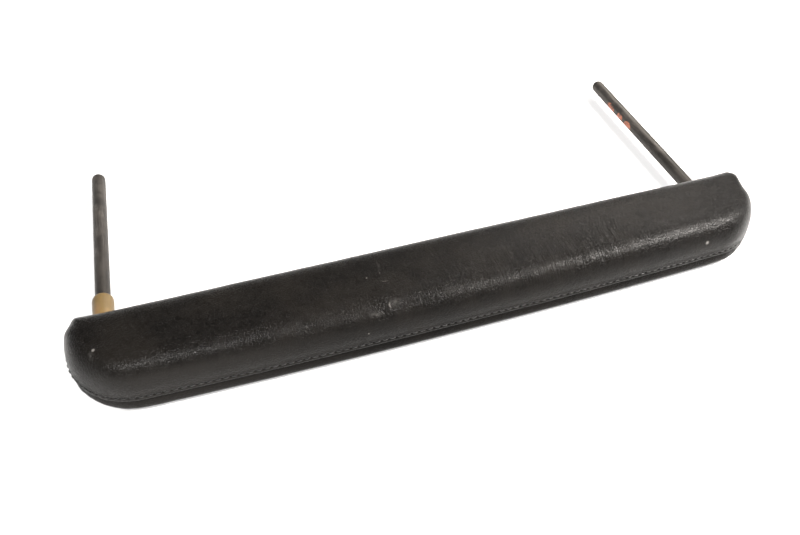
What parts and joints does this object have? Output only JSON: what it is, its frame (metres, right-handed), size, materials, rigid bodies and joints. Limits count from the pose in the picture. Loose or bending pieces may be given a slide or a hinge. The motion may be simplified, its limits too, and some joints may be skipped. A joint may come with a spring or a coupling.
{
  "type": "bed assist rail",
  "caption": "Leather-padded grab bar with parallel round steel posts along one side that plug into sockets on a bed, and a loose plastic bush on one post",
  "frame": {"origin": "middle of the flat rear face, which the bar rests on when laid down: half way between the two posts, half way between the bar's straight side and the ends of its free side", "axes": "X along the bar, +Y the way the posts point out of its straight side, +Z out of the rear face and up through the crowned front face"},
  "size_m": [0.5838, 0.2744, 0.048],
  "materials": {
    "cover_leather": "satin",
    "thread": "matte",
    "wadding": "matte",
    "foam": "matte",
    "core_steel": "satin",
    "post_steel": "satin",
    "fastener_steel": "satin",
    "bush_plastic": "matte"
  },
  "bodies": {
    "bar": {"front_cover": "cover_leather", "rear_cover": "cover_leather", "topstitching": "thread", "wadding": "wadding", "front_foam": "foam", "rear_foam": "foam", "core_tube": "core_steel", "left_post": "post_steel", "right_post": "post_steel", "left_post_screw": "fastener_steel", "right_post_screw": "fastener_steel", "left_post_nut": "fastener_steel", "right_post_nut": "fastener_steel"},
    "bush": {"post_bush": "bush_plastic"}
  },
  "joints": [
    {"name": "bush_slide", "type": "slide", "parent": "bar", "child": "bush", "axis": [0, 1, 0], "range_m": [0, 0.154]}
  ]
}
